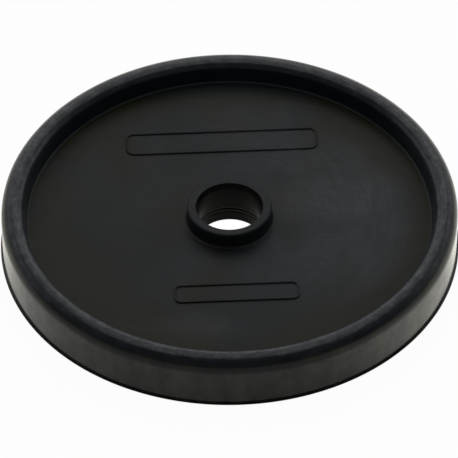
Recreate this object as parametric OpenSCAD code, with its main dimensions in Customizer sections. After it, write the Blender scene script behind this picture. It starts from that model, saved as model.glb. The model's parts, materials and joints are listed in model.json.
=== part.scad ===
// Pump diaphragm: one moulded rubber disc with a raised rim, a flat web and a bored centre collar.
// Millimetres, Z up. The flat underside lies on Z = 0 and the bore runs along the Z axis.

/* [Rim] */
// Diameter over the moulding lip at the foot of the outer wall
base_d = 98; // [80:0.5:130]
// Width of the moulding lip, outwards from the wall
foot_w = 0.4; // [0.2:0.1:2]
// Thickness of the moulding lip
foot_t = 0.3; // [0.2:0.1:1]
// Height of the rim above the underside
rim_h = 11.9; // [9:0.1:20]
// Lean of the outer wall, inwards towards the top, in degrees
wall_draft = 0; // [0:0.1:8]
// Thickness of the rim across its top, before its edges are rounded
rim_w = 4.6; // [3:0.1:10]
// Lean of the rim's inner wall, away from the bore towards the top, in degrees
well_draft = 9.5; // [0:0.5:30]
// Radius of the rim's outer shoulder
shoulder_r = 2.8; // [0.5:0.1:4]
// Radius of the rim's inner lip
lip_r = 2; // [0.3:0.1:3]

/* [Web] */
// Thickness of the web between the rim and the collar
web_t = 7.2; // [4:0.1:8]
// Radius of the fillet between the web and the rim
well_fillet_r = 0.4; // [0.2:0.1:1.5]

/* [Collar] */
// Diameter of the bore
bore_d = 14; // [8:0.5:30]
// Thickness of the collar's wall at its top, outwards from the bore
collar_w = 2; // [1.5:0.1:6]
// Height of the collar above the web
collar_h = 3.35; // [1.5:0.05:8]
// Lean of the collar's outer wall, inwards towards the top, in degrees
collar_draft = 4; // [0:0.5:15]
// Radius of the collar's outer top edge
collar_edge_r = 0.5; // [0.2:0.1:0.7]
// Radius of the fillet between the web and the collar
collar_fillet_r = 0.5; // [0.2:0.1:0.8]
// Height of the lead-in taper at the mouth of the bore
lead_h = 1.6; // [0.5:0.1:2.5]
// Width of the lead-in taper at the mouth, outwards from the bore
lead_w = 0.15; // [0.05:0.05:0.4]
// Radius of the edge round the mouth of the bore
bore_edge_r = 0.15; // [0.05:0.05:0.4]

/* [Hidden] */
$fn = 180;

base_r = base_d / 2;
wall_foot_r = base_r - foot_w;
rim_top_r = wall_foot_r - (rim_h - foot_t) * tan(wall_draft);
well_top_r = rim_top_r - rim_w;
well_foot_r = well_top_r - (rim_h - web_t) * tan(well_draft);
bore_r = bore_d / 2;
collar_top_r = bore_r + collar_w;
collar_foot_r = collar_top_r + collar_h * tan(collar_draft);
collar_top_z = web_t + collar_h;

// Corners of the half section as (radius, height), before any edge is rounded
bore_foot = [bore_r, 0];
lip_foot = [base_r, 0];
lip_top = [base_r, foot_t];
wall_foot = [wall_foot_r, foot_t];
wall_top = [rim_top_r, rim_h];
well_top = [well_top_r, rim_h];
well_foot = [well_foot_r, web_t];
collar_foot = [collar_foot_r, web_t];
collar_top = [collar_top_r, collar_top_z];
mouth = [bore_r + lead_w, collar_top_z];
lead_foot = [bore_r, collar_top_z - lead_h];

// The two roundings of the rim share its top, so together they are never wider than it
rim_round = min(1, rim_w / (shoulder_r * tan_reach(wall_foot, wall_top, well_top)
                            + lip_r * tan_reach(wall_top, well_top, well_foot)));

function unit(v) = v / norm(v);

// Half the angle at corner p between the sides that lead to a and b
function half_angle(a, p, b) = acos(unit(a - p) * unit(b - p)) / 2;

// Distance from a corner to its tangent points, for a rounding of radius 1
function tan_reach(a, p, b) = 1 / tan(half_angle(a, p, b));

// Centre of a rounding of radius r in the corner p
function round_centre(a, p, b, r) = p + unit(unit(a - p) + unit(b - p)) * r / sin(half_angle(a, p, b));

// The sliver between a sharp corner p and the arc of radius r that rounds it
module spandrel(a, p, b, r) {
    reach = r * tan_reach(a, p, b);
    centre = round_centre(a, p, b, r);
    difference() {
        polygon([p, p + unit(a - p) * reach, centre, p + unit(b - p) * reach]);
        translate(centre) circle(r = r);
    }
}

module sharp_section() {
    polygon([bore_foot, lip_foot, lip_top, wall_foot, wall_top, well_top, well_foot,
             collar_foot, collar_top, mouth, lead_foot]);
}

module inner_fillets() {
    spandrel(well_top, well_foot, collar_foot, well_fillet_r);
    spandrel(well_foot, collar_foot, collar_top, collar_fillet_r);
}

module outer_roundings() {
    spandrel(wall_foot, wall_top, well_top, shoulder_r * rim_round);
    spandrel(wall_top, well_top, well_foot, lip_r * rim_round);
    spandrel(collar_foot, collar_top, mouth, collar_edge_r);
    spandrel(collar_top, mouth, lead_foot, bore_edge_r);
}

module diaphragm() {
    color([0.09, 0.095, 0.1])
        rotate_extrude() difference() {
            union() {
                sharp_section();
                inner_fillets();
            }
            outer_roundings();
        }
}

diaphragm();
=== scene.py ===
import json
import math

import bmesh
import bpy
from mathutils import Matrix, Vector


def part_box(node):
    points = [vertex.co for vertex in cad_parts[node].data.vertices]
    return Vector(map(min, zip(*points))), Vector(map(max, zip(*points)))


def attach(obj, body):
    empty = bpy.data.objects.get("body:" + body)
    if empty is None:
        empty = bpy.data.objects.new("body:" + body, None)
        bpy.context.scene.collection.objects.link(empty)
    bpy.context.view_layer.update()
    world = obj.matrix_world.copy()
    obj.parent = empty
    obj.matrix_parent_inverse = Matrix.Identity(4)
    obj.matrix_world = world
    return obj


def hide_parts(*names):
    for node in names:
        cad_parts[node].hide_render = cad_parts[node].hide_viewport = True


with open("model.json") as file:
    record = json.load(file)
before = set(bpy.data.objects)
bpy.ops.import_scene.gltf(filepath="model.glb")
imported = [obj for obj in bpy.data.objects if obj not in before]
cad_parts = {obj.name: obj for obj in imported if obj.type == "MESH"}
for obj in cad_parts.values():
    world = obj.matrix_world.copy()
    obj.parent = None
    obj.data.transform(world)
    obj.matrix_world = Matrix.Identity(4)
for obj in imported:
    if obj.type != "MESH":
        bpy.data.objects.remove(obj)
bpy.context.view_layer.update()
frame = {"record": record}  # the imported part, which stays where it is

mm = 0.001
weldReach = 0.0005 * mm  # points nearer than this are joined
scene = bpy.context.scene
scene.view_settings.view_transform = "Standard"
partLow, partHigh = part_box("diaphragm")
boreMount = next(m for m in frame["record"]["mounts"] if m["name"] == "bore")
print("frame loaded, part is", [round(s / mm, 1) for s in partHigh - partLow], "mm")


# helpers for node trees: an input is filled by a link from another node or by a plain value

def plug(tree, value, socket):
    if isinstance(value, bpy.types.NodeSocket):
        tree.links.new(value, socket)
    else:
        socket.default_value = value


def plugAll(tree, values, sockets):
    for value, socket in zip(values, sockets):
        plug(tree, value, socket)


def addNode(tree, kind, inputs=None, **settings):
    node = tree.nodes.new(kind)
    for name, value in settings.items():
        setattr(node, name, value)
    for name, value in (inputs or {}).items():
        plug(tree, value, node.inputs[name])
    return node


def mathOf(tree, operation, *values, clamp=False):
    node = addNode(tree, "ShaderNodeMath", operation=operation, use_clamp=clamp)
    plugAll(tree, values, node.inputs)
    return node.outputs[0]


def vectorOf(tree, operation, *values):
    node = addNode(tree, "ShaderNodeVectorMath", operation=operation)
    plugAll(tree, values, node.inputs)
    return node.outputs[0]


def scaleOf(tree, vector, factor):
    scaled = vectorOf(tree, "SCALE", vector)
    plug(tree, factor, scaled.node.inputs["Scale"])
    return scaled


def lengthOf(tree, vector):
    return vectorOf(tree, "LENGTH", vector).node.outputs["Value"]


def joinOf(tree, *values):
    node = addNode(tree, "ShaderNodeCombineXYZ")
    plugAll(tree, values, node.inputs)
    return node.outputs[0]


def splitOf(tree, vector):
    node = addNode(tree, "ShaderNodeSeparateXYZ")
    plug(tree, vector, node.inputs[0])
    return node.outputs


def rampOf(tree, value, start, end, low=0.0, high=1.0):
    node = addNode(tree, "ShaderNodeMapRange", interpolation_type="SMOOTHSTEP")
    plugAll(tree, (value, start, end, low, high), node.inputs)
    return node.outputs[0]


# one value where a mask is 1 and another where it is 0
def fadeOf(tree, mask, inside, outside=1.0):
    return rampOf(tree, mask, 0.0, 1.0, outside, inside)


# gives the function that multiplies a value by the ramps listed under a name
def maskMaker(tree, fields, ramps):
    def mask(name, value=1.0):
        for field, *limits in ramps[name]:
            value = mathOf(tree, "MULTIPLY", value, rampOf(tree, fields[field], *limits))
        return value
    return mask


def noiseOf(tree, vector, scale, detail=2.0, roughness=0.5, distortion=0.0):
    return addNode(tree, "ShaderNodeTexNoise", {
        "Vector": vector,
        "Scale": scale,
        "Detail": detail,
        "Roughness": roughness,
        "Distortion": distortion,
    }).outputs["Fac"]


def mixColour(tree, factor, first, second):
    inputs = {"Factor": factor, "A": first, "B": second}
    return addNode(tree, "ShaderNodeMix", inputs, data_type="RGBA").outputs["Result"]


def mixShader(tree, factor, first, second):
    node = addNode(tree, "ShaderNodeMixShader")
    plugAll(tree, (factor, first, second), node.inputs)
    return node.outputs[0]


def startTree(name, inputs):
    tree = bpy.data.node_groups.new(name, "GeometryNodeTree")
    for label, kind in inputs.items():
        tree.interface.new_socket(label, in_out="INPUT", socket_type="NodeSocket" + kind)
    tree.interface.new_socket("Geometry", in_out="OUTPUT", socket_type="NodeSocketGeometry")
    return tree, addNode(tree, "NodeGroupInput").outputs


def endTree(tree, geometry, material):
    smooth = addNode(tree, "GeometryNodeSetShadeSmooth", {"Geometry": geometry})
    realize = addNode(tree, "GeometryNodeRealizeInstances", {"Geometry": smooth.outputs[0]})
    paint = addNode(tree, "GeometryNodeSetMaterial", {
        "Geometry": realize.outputs[0],
        "Material": material,
    })
    addNode(tree, "NodeGroupOutput", {"Geometry": paint.outputs[0]})


# runs a tree on a seed mesh and leaves a plain closed mesh
def bakeTree(name, tree, values, seedMesh):
    seed = bpy.data.objects.new(name + "Seed", seedMesh)
    scene.collection.objects.link(seed)
    modifier = seed.modifiers.new("shape", "NODES")
    modifier.node_group = tree
    identifiers = {s.name: s.identifier for s in tree.interface.items_tree if s.in_out == "INPUT"}
    for label, value in values.items():
        modifier[identifiers[label]] = value
    bpy.context.view_layer.update()
    evaluated = seed.evaluated_get(bpy.context.evaluated_depsgraph_get())
    mesh = bpy.data.meshes.new_from_object(evaluated)
    seed.modifiers.remove(modifier)
    bpy.data.objects.remove(seed)
    shape = bmesh.new()
    shape.from_mesh(mesh)
    bmesh.ops.remove_doubles(shape, verts=shape.verts, dist=weldReach)
    bmesh.ops.recalc_face_normals(shape, faces=shape.faces)
    shape.to_mesh(mesh)
    shape.free()
    mesh.name = name
    piece = bpy.data.objects.new(name, mesh)
    scene.collection.objects.link(piece)
    print(name, "has", len(mesh.polygons), "faces")
    return piece


# black moulded rubber: a rim with a polished skin, worn and grey with bloom on its crown that is partly a
# painted reflection of cool light, and a dull web with wiped dust, more of it to the right as painted
# light
rubberLook = {
    "colours": {
        "deep": (0.0054, 0.0070, 0.0076, 1),
        "wellLight": (0.0048, 0.0105, 0.0125, 1),
        "soil": (0.0108, 0.0110, 0.0040, 1),
        "web": (0.0064, 0.0066, 0.0016, 1),
        "webCool": (0.0042, 0.0059, 0.0064, 1),
        "bloomAndReflection": (0.0135, 0.0198, 0.0268, 1),
        "handled": (0.0150, 0.0172, 0.0195, 1),
        # painted shade for the inside of the bore
        "bore": (0.0012, 0.0014, 0.0014, 1),
        "dustAndLight": (0.0390, 0.0425, 0.0465, 1),
    },
    "ringNoise": {  # drawn out along the turn: scale round the bore, scale across, detail
        "streaks": (3.0, 2.4, 4.0),
        "smears": (6.0, 0.5, 3.0),
        "flecks": (16.0, 1.5, 3.0),
        "stains": (13.0, 0.3, 3.0),
    },
    "ringSlope": 0.2,  # a step up counts as this share of a step across
    "ringRoughness": 0.6,
    "plainNoise": {  # scale, detail, roughness, and distortion if any
        "clouds": (0.045, 2.0, 0.5, 0.5),
        "coolSpots": (0.09, 2.0, 0.5),
        "mottle": (0.35, 3.0, 0.6),
        "specks": (1.3, 2.0, 0.6),
        "grain": (5.5, 3.0, 0.6),
    },
    "drawnNoise": {  # drawn out along x: scale on each axis, detail, roughness
        "brushed": ((0.12, 1.9, 0.0), 3.0, 0.65),
        "scuffs": ((0.035, 1.6, 0.0), 2.0, 0.5),
    },
    "scuffTurn": math.radians(14),
    "patches": (  # of dust: place and reach in mm, strength
        ((26, 6, 0), (20, 13, 1), 1.0),
        ((-6, -33, 0), (13, 6, 1), 0.4),
    ),
    "patchEdge": (1.3, 0.2),  # in reaches, where a patch starts and is full
    "ramps": {  # field, from, to, and the values there if they aren't 0 and 1
        "onRim": [("radius", 42.5, 44.0), ("height", 9.8, 11.6)],
        "onWeb": [("radius", 43.4, 42.6), ("height", 5.0, 6.8)],
        "onCollar": [("radius", 9.8, 9.5), ("radius", 7.3, 7.4), ("height", 7.3, 7.8)],
        "onShoulder": [("radius", 46.6, 47.8), ("height", 7.9, 9.4)],
        "inWell": [("radius", 44.6, 44.2)],
        "inBore": [("radius", 7.3, 7.2)],
        "bloomAndReflection": [("mottle", 0.36, 0.64, 0.4, 1.0), ("flecks", 0.35, 0.68, 0.3, 1.0)],
        "dustAndLightFall": [
            ("clouds", 0.34, 0.64, 0.1, 0.8),
            # more to the right: painted light where the light is brighter
            ("x", -24.0, 30.0, 0.4, 1.0),
            ("y", -30.0, -12.0, 0.3, 1.0),
        ],
        "dustWipe": [
            ("smears", 0.28, 0.72, 0.7, 1.0),
            ("brushed", 0.3, 0.7, 0.7, 1.0),
            ("radius", 43.0, 34.0),
        ],
        "scuffs": [("scuffs", 0.62, 0.7, 0.0, 0.3)],
        "handled": [("mottle", 0.3, 0.7, 0.2, 0.7)],
        "coolMiddle": [("radius", 40.0, 28.0, 0.0, 0.22)],
        "coolBack": [("y", 37.0, 41.0, 0.0, 0.5)],
        "cool": [("coolness", 0.52, 0.78)],
        "soiled": [("radius", 47.6, 48.4), ("stains", 0.42, 0.62, 0.0, 0.8)],
        "tint": [("streaks", 0.25, 0.75, 0.8, 1.2)],
        "film": [("radius", 43.0, 43.6), ("height", 0.02, 0.1)],
        "filmWear": [("flecks", 0.3, 0.7, 0.7, 1.0), ("stains", 0.3, 0.65, 0.8, 1.0)],
        "crownFlecks": [("flecks", 0.34, 0.66, 0.8, 1.0)],
        "crownSpots": [("specks", 0.36, 0.64, 0.64, 1.0), ("mottle", 0.36, 0.64, 0.72, 1.0)],
        "crownBackHighlight": [("y", 30.0, 44.0, 0.0, 0.25)],
        "footShade": [("clearOfShade", 0.2, 1.1, 0.45, 1.0)],
        "streakRoughness": [("streaks", 0.25, 0.75, -0.04, 0.05)],
        "cloudRoughness": [("clouds", 0.3, 0.7, -0.04, 0.04)],
    },
    "footShadeStains": 3.0,  # mm by which the stains shift the edge of the painted shade at most
    "footShadeSlope": 0.03,  # fall of that edge for each mm to the back
    "rimRoughness": 0.22,
    "webRoughness": 0.4,
    "shoulderRoughness": 0.1,  # added at the shoulder
    "specular": 0.115,
    "film": 0.6,  # the polished skin of the rim and its wall
    "shoulderFilm": 0.33,  # share of the film that is left at the shoulder
    "filmRoughness": 0.16,
    "bumpStrength": 0.25,
    "bumpDistance": 0.02 * mm,
}


# what the look depends on: the place in mm, and noise
def rubberFields(tree, look):
    place = addNode(tree, "ShaderNodeTexCoord").outputs["Object"]
    inMm = vectorOf(tree, "MULTIPLY", place, (1 / mm, 1 / mm, 1 / mm))
    x, y, height = splitOf(tree, inMm)
    flat = joinOf(tree, x, y)
    radius = lengthOf(tree, flat)
    fields = {"x": x, "y": y, "height": height, "flat": flat, "radius": radius}
    heading = vectorOf(tree, "NORMALIZE", flat)
    slope = mathOf(tree, "MULTIPLY_ADD", height, look["ringSlope"], radius)
    for name, (around, across, detail) in look["ringNoise"].items():
        girth = joinOf(tree, 0.0, 0.0, mathOf(tree, "MULTIPLY", slope, across))
        spot = vectorOf(tree, "MULTIPLY_ADD", heading, (around, around, around), girth)
        fields[name] = noiseOf(tree, spot, 1.0, detail, look["ringRoughness"])
    for name, settings in look["plainNoise"].items():
        fields[name] = noiseOf(tree, inMm, *settings)
    turned = addNode(tree, "ShaderNodeVectorRotate", {
        "Vector": inMm,
        "Angle": look["scuffTurn"],
    }, rotation_type="Z_AXIS").outputs[0]
    for name, vector in (("brushed", inMm), ("scuffs", turned)):
        scales, detail, roughness = look["drawnNoise"][name]
        fields[name] = noiseOf(tree, vectorOf(tree, "MULTIPLY", vector, scales), 1.0, detail, roughness)
    return fields


def rubberColour(tree, look, fields, mask):
    colours = look["colours"]
    # the bloom lies on the crown of the rim, partly a painted reflection of cool light; the dust lies on
    # the web, thinner in front, and more of it to the right is painted light
    bloomAndReflection = mask("bloomAndReflection", fields["onRim"])
    # dust in clouds, with painted light that makes it rise to the right
    dustAndLight = mask("dustAndLightFall")
    for middle, reach, strength in look["patches"]:
        away = vectorOf(tree, "DIVIDE", vectorOf(tree, "SUBTRACT", fields["flat"], middle), reach)
        patch = rampOf(tree, lengthOf(tree, away), *look["patchEdge"], 0.0, strength)
        dustAndLight = mathOf(tree, "MAXIMUM", dustAndLight, patch)
    dustAndLight = mask("dustWipe", dustAndLight)
    # a few hairline scuffs run across it
    dustAndLight = mathOf(tree, "MAXIMUM", dustAndLight, mask("scuffs"))
    dustAndLight = mathOf(tree, "MULTIPLY", dustAndLight, fields["onWeb"])
    # the web is warm near the rim and cooler in the middle, in patches
    cool = mathOf(tree, "ADD", fields["coolSpots"], mask("coolMiddle"))
    fields["coolness"] = mathOf(tree, "ADD", cool, mask("coolBack"))
    web = mixColour(tree, mask("cool"), colours["web"], colours["webCool"])
    # earth clings to the outer wall in patches; the wall of the well lies in shade and is given painted
    # light, a lighter bluish grey
    colour = mixColour(tree, mask("soiled"), colours["deep"], colours["soil"])
    # painted light: the shaded wall of the well is lifted to a lighter bluish grey
    colour = mixColour(tree, mask("inWell"), colour, colours["wellLight"])
    colour = mixColour(tree, fields["onWeb"], colour, web)
    colour = mixColour(tree, dustAndLight, colour, colours["dustAndLight"])
    # handling has greyed the collar
    onCollar = mask("onCollar")
    colour = mixColour(tree, onCollar, colour, colours["deep"])
    # painted shade: the inside of the bore is painted near black
    colour = mixColour(tree, mask("inBore"), colour, colours["bore"])
    colour = mixColour(tree, mask("handled", onCollar), colour, colours["handled"])
    # bloom on the crown, its bluish grey partly a painted reflection of cool light from above
    colour = mixColour(tree, bloomAndReflection, colour, colours["bloomAndReflection"])
    return scaleOf(tree, colour, mask("tint"))


# how much of the polished skin there is, with a painted highlight at the back of the crown and painted
# shade along the foot
def rubberFilm(tree, look, fields, mask):
    film = mask("filmWear", mask("film"))
    # on the crown it is worn in specks and spots, and more of it is left towards the back as a painted
    # highlight on the far crown
    wearAndHighlight = mask("crownSpots", mask("crownFlecks"))
    wearAndHighlight = mathOf(tree, "ADD", wearAndHighlight, mask("crownBackHighlight"), clamp=True)
    film = mathOf(tree, "MULTIPLY", film, fadeOf(tree, fields["onRim"], wearAndHighlight))
    # painted shade lies unevenly along the foot of the wall, most of it in front: the skin is thinner
    # there
    backed = mathOf(tree, "MULTIPLY_ADD", fields["y"], look["footShadeSlope"], fields["height"])
    fields["clearOfShade"] = mathOf(tree, "MULTIPLY_ADD", fields["stains"], look["footShadeStains"], backed)
    film = mask("footShade", film)
    # the skin is duller towards the shoulder
    film = mathOf(tree, "MULTIPLY", film, fadeOf(tree, fields["onShoulder"], look["shoulderFilm"]))
    return mathOf(tree, "MULTIPLY", film, look["film"])


def rubberRoughness(tree, look, fields, mask):
    rough = fadeOf(tree, fields["onWeb"], look["webRoughness"], look["rimRoughness"])
    rough = mathOf(tree, "ADD", rough, mask("streakRoughness"))
    rough = mathOf(tree, "MULTIPLY_ADD", fields["onShoulder"], look["shoulderRoughness"], rough)
    return mathOf(tree, "ADD", rough, mask("cloudRoughness"))


def makeRubber(look):
    material = bpy.data.materials.new("blackRubber")
    material.use_nodes = True
    tree = material.node_tree
    fields = rubberFields(tree, look)
    mask = maskMaker(tree, fields, look["ramps"])
    for name in ("onRim", "onWeb", "onShoulder"):
        fields[name] = mask(name)
    bump = addNode(tree, "ShaderNodeBump", {
        "Strength": look["bumpStrength"],
        "Distance": look["bumpDistance"],
        "Height": mathOf(tree, "ADD", fields["grain"], fields["streaks"]),
    })
    shader = tree.nodes["Principled BSDF"].inputs
    plug(tree, rubberColour(tree, look, fields, mask), shader["Base Color"])
    plug(tree, rubberRoughness(tree, look, fields, mask), shader["Roughness"])
    plug(tree, look["specular"], shader["Specular IOR Level"])
    plug(tree, rubberFilm(tree, look, fields, mask), shader["Coat Weight"])
    plug(tree, look["filmRoughness"], shader["Coat Roughness"])
    plug(tree, bump.outputs[0], shader["Normal"])
    return material


blackRubber = makeRubber(rubberLook)
print("rubber ready")


# the moulding: one closed half section turned about the bore
section = {
    "baseR": partHigh.x,
    "rimH": partHigh.z,
    "boreR": boreMount["dims"]["r_mm"] * mm,
    "wallDraft": 0,
    "wellDraft": math.radians(9.5),
    "rimW": 4.6 * mm,
    "shoulderR": 2.8 * mm,
    "lipR": 2 * mm,
    "footW": 0.4 * mm,
    "footT": 0.3 * mm,
    "footEdgeR": 0.1 * mm,
    "webT": 7.2 * mm,
    "wellFilletR": 0.4 * mm,
    "collarW": 2 * mm,
    "collarH": 3.35 * mm,
    "collarDraft": math.radians(4),
    "collarEdgeR": 0.5 * mm,
    "collarFilletR": 0.5 * mm,
    "mouthEdgeR": 0.15 * mm,
    "leadW": 0.15 * mm,
    "leadH": 1.6 * mm,
    "rings": (3.4 * mm, 2.5 * mm),  # heights of two fine grooves in the bore
    "ringH": 0.6 * mm,
    "ringDepth": 0.1 * mm,
    "boreEdgeR": 0.06 * mm,
    "flatStep": 1.2 * mm,
    "arcStep": math.radians(7.5),
    "arcLeast": 3,  # fewest steps in an arc
    "guard": 0.12 * mm,  # from the end of an arc to the first point on the flat
    "turns": 360,  # faces once round
    "waviness": 0.03 * mm,
    "dips": (75.0, 1.0),  # noise of the waviness: scale and detail
    "dipRange": (0.3, 0.75),  # of that noise, where a dip starts and is deepest
    "dipHeight": (1 * mm, 6 * mm),  # the skin is true below and dips above
}


# corners as (radius, height, rounding), once round the section
def sectionCorners(s):
    wallFootR = s["baseR"] - s["footW"]
    rimTopR = wallFootR - (s["rimH"] - s["footT"]) * math.tan(s["wallDraft"])
    wellTopR = rimTopR - s["rimW"]
    wellFootR = wellTopR - (s["rimH"] - s["webT"]) * math.tan(s["wellDraft"])
    collarTopR = s["boreR"] + s["collarW"]
    collarFootR = collarTopR + s["collarH"] * math.tan(s["collarDraft"])
    collarTop = s["webT"] + s["collarH"]
    corners = [
        (s["boreR"], 0, s["boreEdgeR"]),
        (s["baseR"], 0, s["footEdgeR"]),
        (s["baseR"], s["footT"], s["footEdgeR"]),
        (wallFootR, s["footT"], s["footEdgeR"]),
        (rimTopR, s["rimH"], s["shoulderR"]),
        (wellTopR, s["rimH"], s["lipR"]),
        (wellFootR, s["webT"], s["wellFilletR"]),
        (collarFootR, s["webT"], s["collarFilletR"]),
        (collarTopR, collarTop, s["collarEdgeR"]),
        (s["boreR"] + s["leadW"], collarTop, s["mouthEdgeR"]),
        (s["boreR"], collarTop - s["leadH"], s["boreEdgeR"]),
    ]
    for height in s["rings"]:
        corners += [
            (s["boreR"], height + s["ringH"] / 2, s["boreEdgeR"]),
            (s["boreR"] + s["ringDepth"], height, s["boreEdgeR"]),
            (s["boreR"], height - s["ringH"] / 2, s["boreEdgeR"]),
        ]
    return corners


def roundCorner(before, corner, after, rounding, s):
    toBefore = (before - corner).normalized()
    toAfter = (after - corner).normalized()
    half = toBefore.angle(toAfter) / 2
    reach = rounding / math.tan(half)
    middle = corner + (toBefore + toAfter).normalized() * rounding / math.sin(half)
    first = corner + toBefore * reach - middle
    sweep = first.angle_signed(corner + toAfter * reach - middle)
    count = max(s["arcLeast"], math.ceil(abs(sweep) / s["arcStep"]))
    return [middle + Matrix.Rotation(-sweep * i / count, 2) @ first for i in range(count + 1)]


# points on a flat between two arcs, none if it is too short for a guard at each end
def fillFlat(start, end, step, guard):
    length = (end - start).length
    if length < 3 * guard:
        return []
    along = (end - start) / length
    count = max(1, math.ceil((length - 2 * guard) / step))
    return [start + along * (guard + (length - 2 * guard) * i / count) for i in range(count + 1)]


def sectionPoints(s):
    corners = sectionCorners(s)
    flat = [Vector(c[:2]) for c in corners]
    count = len(flat)
    arcs = [
        roundCorner(flat[i - 1], flat[i], flat[(i + 1) % count], corners[i][2], s)
        for i in range(count)
    ]
    points = []
    for i, arc in enumerate(arcs):
        points += arc + fillFlat(arc[-1], arcs[(i + 1) % count][0], s["flatStep"], s["guard"])
    return points


def sectionMesh(points, pathR):
    mesh = bpy.data.meshes.new("section")
    edges = [(i, (i + 1) % len(points)) for i in range(len(points))]
    mesh.from_pydata([(p.x - pathR, -p.y, 0) for p in points], edges, [])
    return mesh


def turnedTree(s):
    tree, given = startTree("turnedSection", {
        "Section": "Geometry",
        "Path radius": "Float",
        "Turns": "Int",
        "Waviness": "Float",
        "Rubber": "Material",
    })
    profile = addNode(tree, "GeometryNodeMeshToCurve", {"Mesh": given["Section"]})
    path = addNode(tree, "GeometryNodeCurvePrimitiveCircle", {
        "Resolution": given["Turns"],
        "Radius": given["Path radius"],
    })
    sweep = addNode(tree, "GeometryNodeCurveToMesh", {
        "Curve": path.outputs[0],
        "Profile Curve": profile.outputs[0],
    })
    # rubber is never quite true: the upper skin dips a little here and there
    place = addNode(tree, "GeometryNodeInputPosition").outputs[0]
    dip = rampOf(tree, noiseOf(tree, place, *s["dips"]), *s["dipRange"])
    dip = mathOf(tree, "MULTIPLY", dip, rampOf(tree, splitOf(tree, place)[2], *s["dipHeight"]))
    dip = mathOf(tree, "MULTIPLY", dip, given["Waviness"])
    move = addNode(tree, "GeometryNodeSetPosition", {
        "Geometry": sweep.outputs[0],
        "Offset": scaleOf(tree, (0.0, 0.0, -1.0), dip),
    })
    endTree(tree, move.outputs[0], given["Rubber"])
    return tree


pathR = (section["baseR"] + section["boreR"]) / 2
moulding = bakeTree("diaphragm_moulding", turnedTree(section), {
    "Path radius": pathR,
    "Turns": section["turns"],
    "Waviness": section["waviness"],
    "Rubber": blackRubber,
}, sectionMesh(sectionPoints(section), pathR))
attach(moulding, "root")
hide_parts("diaphragm")


# two blank cartouches moulded on the web, one behind the collar and one in front
cartouches = {
    "back_cartouche": {"place": (-1.6 * mm, 23.9 * mm), "size": (41 * mm, 6.3 * mm), "corner": 1.6 * mm},
    "front_cartouche": {"place": (1.4 * mm, -22.8 * mm), "size": (26 * mm, 4.9 * mm), "corner": 1.3 * mm},
}
cartoucheBead = {
    "width": 0.55 * mm,
    "height": 0.3 * mm,
    "turn": math.radians(2.5),
    "sides": 20,
    "cornerPoints": 10,
}


def cartoucheTree(bead):
    tree, given = startTree("cartoucheOutline", {
        "Seed": "Geometry",
        "Width": "Float",
        "Depth": "Float",
        "Corner": "Float",
        "Bead width": "Float",
        "Bead height": "Float",
        "Place": "Vector",
        "Turn": "Float",
        "Rubber": "Material",
    })
    outline = addNode(tree, "GeometryNodeCurvePrimitiveQuadrilateral", {
        "Width": given["Width"],
        "Height": given["Depth"],
    }, mode="RECTANGLE")
    rounded = addNode(tree, "GeometryNodeFilletCurve", {
        "Curve": outline.outputs[0],
        "Radius": given["Corner"],
        "Count": bead["cornerPoints"],
    }, mode="POLY")
    ring = addNode(tree, "GeometryNodeCurvePrimitiveCircle", {
        "Resolution": bead["sides"],
        "Radius": mathOf(tree, "DIVIDE", given["Bead width"], 2.0),
    })
    sweep = addNode(tree, "GeometryNodeCurveToMesh", {
        "Curve": rounded.outputs[0],
        "Profile Curve": ring.outputs[0],
    })
    # the round bead is pressed flat until its upper half has the height of the bead
    flatness = mathOf(tree, "MULTIPLY", given["Bead height"], 2.0)
    flatness = mathOf(tree, "DIVIDE", flatness, given["Bead width"])
    lay = addNode(tree, "GeometryNodeTransform", {
        "Geometry": sweep.outputs[0],
        "Translation": given["Place"],
        "Rotation": joinOf(tree, 0.0, 0.0, given["Turn"]),
        "Scale": joinOf(tree, 1.0, 1.0, flatness),
    })
    endTree(tree, lay.outputs[0], given["Rubber"])
    return tree


outlineTree = cartoucheTree(cartoucheBead)
for name, plate in cartouches.items():
    piece = bakeTree(name, outlineTree, {
        "Width": plate["size"][0],
        "Depth": plate["size"][1],
        "Corner": plate["corner"],
        "Bead width": cartoucheBead["width"],
        "Bead height": cartoucheBead["height"],
        "Place": (*plate["place"], section["webT"]),
        "Turn": cartoucheBead["turn"],
        "Rubber": blackRubber,
    }, bpy.data.meshes.new(name + "Seed"))
    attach(piece, "root")


# pale floor: white to the camera and a surface that takes the shadow; where the rubber mirrors it, it
# glows unevenly as painted light
floorLook = {
    "radius": 9.0,
    "sides": 64,
    "colour": (0.95, 0.95, 0.95, 1),
    "white": (1, 1, 1, 1),
    "mirrored": (1, 0.985, 0.9, 1),
    "glow": 0.96,  # share of plain white in what the camera sees outside the bore
    "frontGlow": 0.38,  # what the rubber mirrors in front
    "besideGlow": 1.5,  # times as much beside the part
    "ramps": {  # field, from, to, and the values there if they aren't 0 and 1
        "outside": [("distance", section["boreR"], section["boreR"] * 1.1)],
        "right": [("x", 18 * mm, 48 * mm, 0.0, 0.68)],
        "left": [("y", -40 * mm, 0.0, 0.0, 0.45), ("x", -10 * mm, -30 * mm)],
        "lit": [("y", -5 * mm, 3 * mm)],
        "beside": [("y", -20 * mm, 6 * mm)],
    },
}


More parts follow.
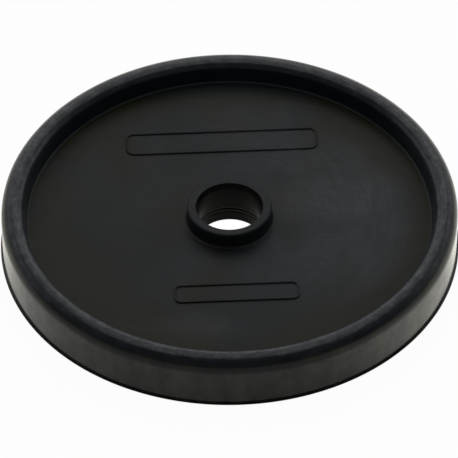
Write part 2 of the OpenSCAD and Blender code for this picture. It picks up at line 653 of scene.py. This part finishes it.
def makeFloor(look):
    material = bpy.data.materials.new("paleFloor")
    material.use_nodes = True
    tree = material.node_tree
    tree.nodes.clear()
    rays = addNode(tree, "ShaderNodeLightPath").outputs
    place = addNode(tree, "ShaderNodeTexCoord").outputs["Object"]
    x, y = splitOf(tree, place)[:2]
    mask = maskMaker(tree, {"x": x, "y": y, "distance": lengthOf(tree, place)}, look["ramps"])
    outside = mask("outside")
    seen = mathOf(tree, "MAXIMUM", rays["Is Camera Ray"], rays["Is Transmission Ray"])
    seen = mathOf(tree, "MULTIPLY", seen, fadeOf(tree, outside, look["glow"]))
    # the walls and the bore mirror the floor as a warm glow, brighter on the right: painted light in
    # their reflections
    sides = mathOf(tree, "ADD", mask("left"), mask("right"))
    sides = mathOf(tree, "ADD", sides, look["frontGlow"])
    # inside the bore its near side lies in the shade
    sides = mathOf(tree, "MULTIPLY", sides, mathOf(tree, "MAXIMUM", mask("lit"), outside))
    # it glows brightest beside the part, where the wall turns away from the camera: painted light in the
    # reflections
    sides = mathOf(tree, "MULTIPLY", sides, fadeOf(tree, mask("beside", outside), look["besideGlow"]))
    mirrored = mathOf(tree, "MULTIPLY", rays["Is Glossy Ray"], sides)
    paint = addNode(tree, "ShaderNodeBsdfDiffuse", {"Color": look["colour"]})
    glow = addNode(tree, "ShaderNodeEmission", {
        "Color": mixColour(tree, rays["Is Glossy Ray"], look["white"], look["mirrored"]),
        "Strength": mathOf(tree, "MAXIMUM", mirrored, 1.0),
    })
    share = mathOf(tree, "MAXIMUM", seen, mirrored)
    surface = mixShader(tree, share, paint.outputs[0], glow.outputs[0])
    # nothing of the floor shows from below, so that the underside can be looked at
    below = addNode(tree, "ShaderNodeNewGeometry").outputs["Backfacing"]
    clear = addNode(tree, "ShaderNodeBsdfTransparent").outputs[0]
    addNode(tree, "ShaderNodeOutputMaterial", {"Surface": mixShader(tree, below, surface, clear)})
    mesh = bpy.data.meshes.new("floor")
    turns = [2 * math.pi * i / look["sides"] for i in range(look["sides"])]
    edge = [(look["radius"] * math.cos(t), look["radius"] * math.sin(t), 0) for t in turns]
    mesh.from_pydata(edge, [], [list(range(look["sides"]))])
    mesh.materials.append(material)
    floor = bpy.data.objects.new("floor", mesh)
    scene.collection.objects.link(floor)


makeFloor(floorLook)


# studio light: a soft box over the back half, a bright band behind and a dim front
studio = {
    "boxSize": (0.62, 0.7),
    "boxPlace": (0, 0.28, 0.4),
    "boxRadiance": 0.9,
    "boxMiddle": 0.5,  # as a share of the width
    "boxFeather": (0.2, 0.5),  # share of the width from the middle, where it starts to fade and ends
    "band": (  # sine of the elevation, strength
        (0.0, 0.45),
        (0.2, 0.9),
        (0.4, 1.1),
        (0.55, 1.05),
        (0.68, 0.4),
    ),
    "ramps": {  # field, from, to, and the values there if they aren't 0 and 1
        "behind": [("y", -0.2, 0.4)],
        "sky": [("y", -0.3, 0.5, 0.17, 0.34)],
    },
    "tone": (1, 1, 1, 1),
}


def makeSoftBox(look):
    lamp = bpy.data.lights.new("softBox", "AREA")
    lamp.shape = "RECTANGLE"
    lamp.size, lamp.size_y = look["boxSize"]
    lamp.energy = look["boxRadiance"] * math.pi * lamp.size * lamp.size_y
    lamp.use_nodes = True
    tree = lamp.node_tree
    across = splitOf(tree, addNode(tree, "ShaderNodeNewGeometry").outputs["Parametric"])[0]
    offMiddle = mathOf(tree, "ABSOLUTE", mathOf(tree, "SUBTRACT", across, look["boxMiddle"]))
    fade = rampOf(tree, offMiddle, *look["boxFeather"], 1.0, 0.0)
    plug(tree, fade, tree.nodes["Emission"].inputs["Strength"])
    softBox = bpy.data.objects.new("softBox", lamp)
    softBox.location = look["boxPlace"]
    softBox.visible_camera = False
    scene.collection.objects.link(softBox)


def makeWorld(look):
    world = bpy.data.worlds.new("studio")
    world.use_nodes = True
    tree = world.node_tree
    y, rise = splitOf(tree, addNode(tree, "ShaderNodeTexCoord").outputs["Generated"])[1:]
    mask = maskMaker(tree, {"y": y}, look["ramps"])
    band = addNode(tree, "ShaderNodeValToRGB", {"Fac": rise})
    stops = band.color_ramp.elements
    while len(stops) < len(look["band"]):
        stops.new(1.0)
    for stop, (position, strength) in zip(stops, look["band"]):
        stop.position = position
        stop.color = (strength, strength, strength, 1)
    light = mathOf(tree, "MAXIMUM", mask("sky"), mask("behind", band.outputs[0]))
    background = tree.nodes["Background"].inputs
    plug(tree, light, background["Strength"])
    plug(tree, look["tone"], background["Color"])
    scene.world = world


makeSoftBox(studio)
makeWorld(studio)
print("floor and studio light ready")


# camera: where the photograph was taken from
viewpoint = {
    "picture": 458,  # pixels along a side
    "focal": 5490,  # in those pixels
    "sensor": 36,  # mm
    "clip": (0.01, 50),
    "distance": 1.176,
    "elevation": math.radians(43.69),
    "roll": math.radians(-0.44),
    "centre": (229.73, 242.01),  # where the middle of the underside falls in the picture
}


def makeCamera(view):
    lens = bpy.data.cameras.new("camera")
    lens.sensor_width = view["sensor"]
    lens.lens = view["focal"] / view["picture"] * lens.sensor_width
    lens.clip_start, lens.clip_end = view["clip"]
    rise = view["elevation"]
    back = Vector((0, -math.cos(rise), math.sin(rise)))
    right = Vector((1, 0, 0))
    up = back.cross(right)
    perPixel = view["distance"] / view["focal"]
    offX = (view["centre"][0] - view["picture"] / 2) * perPixel
    offY = (view["centre"][1] - view["picture"] / 2) * perPixel
    rolledRight = right * math.cos(view["roll"]) + up * math.sin(view["roll"])
    rolledUp = up * math.cos(view["roll"]) - right * math.sin(view["roll"])
    place = back * view["distance"] - rolledRight * offX + rolledUp * offY
    camera = bpy.data.objects.new("camera", lens)
    axes = Matrix((rolledRight, rolledUp, back)).transposed()
    camera.matrix_world = Matrix.Translation(place) @ axes.to_4x4()
    scene.collection.objects.link(camera)
    scene.camera = camera


makeCamera(viewpoint)
print("camera ready")
